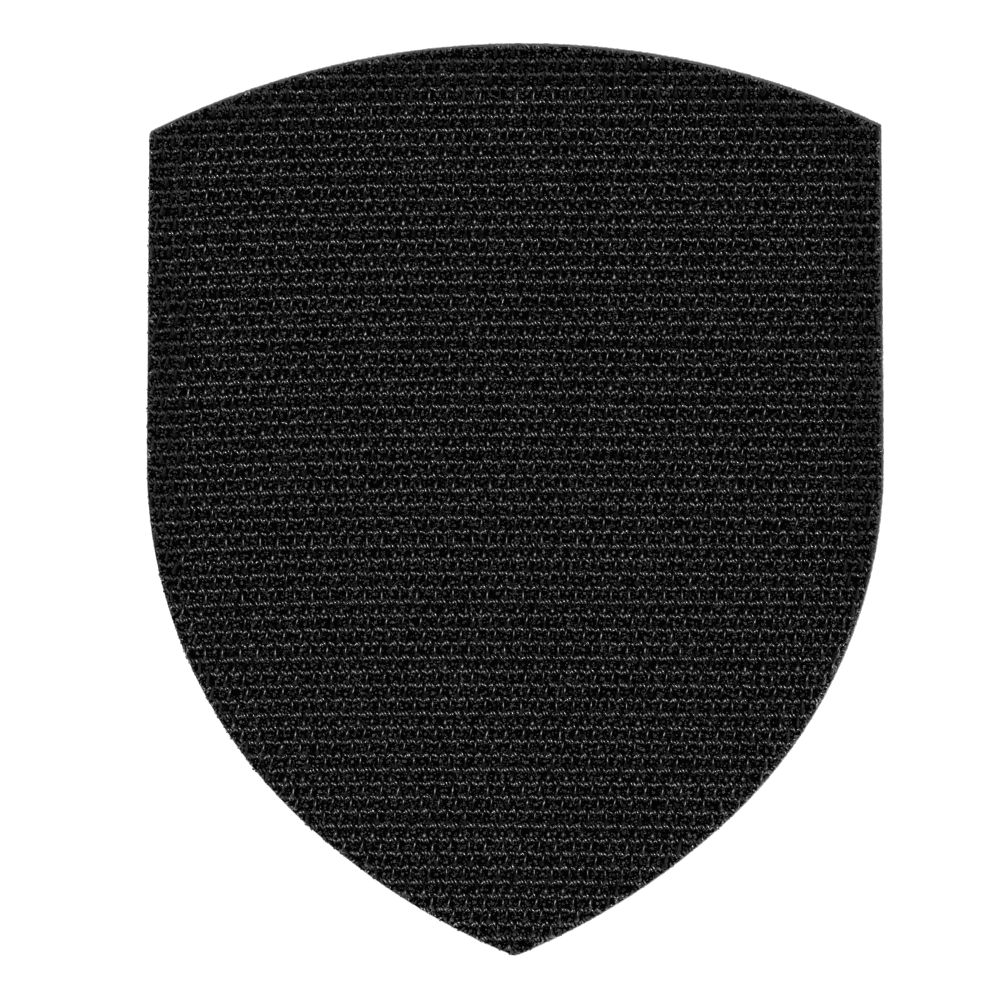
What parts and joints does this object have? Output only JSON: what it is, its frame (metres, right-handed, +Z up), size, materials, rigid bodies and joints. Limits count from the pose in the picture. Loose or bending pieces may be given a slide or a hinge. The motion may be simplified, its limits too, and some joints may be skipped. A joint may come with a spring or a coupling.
{
  "type": "sleeve patch",
  "caption": "Shield-shaped cloth sleeve patch with an arched top, a pointed foot and a back covered edge to edge in woven hook tape, lying face down.",
  "frame": {"origin": "middle of the patch's bounding box, on the outer face of the front cloth, which it lies on", "axes": "+X across the patch to the picture's right, +Y from the tip to the crown, +Z up out of the hooks"},
  "size_m": [0.07, 0.0866, 0.0035],
  "materials": {
    "front_cloth": "plain woven cloth, its cut edge fused smooth",
    "hook_ground": "black woven nylon tape, ribbed across the patch",
    "hooks": "black nylon monofilament hooks, satin"
  },
  "bodies": {
    "root": {"front_cloth": "front_cloth", "hook_ground": "hook_ground", "hook_pile": "hooks"}
  },
  "joints": []
}
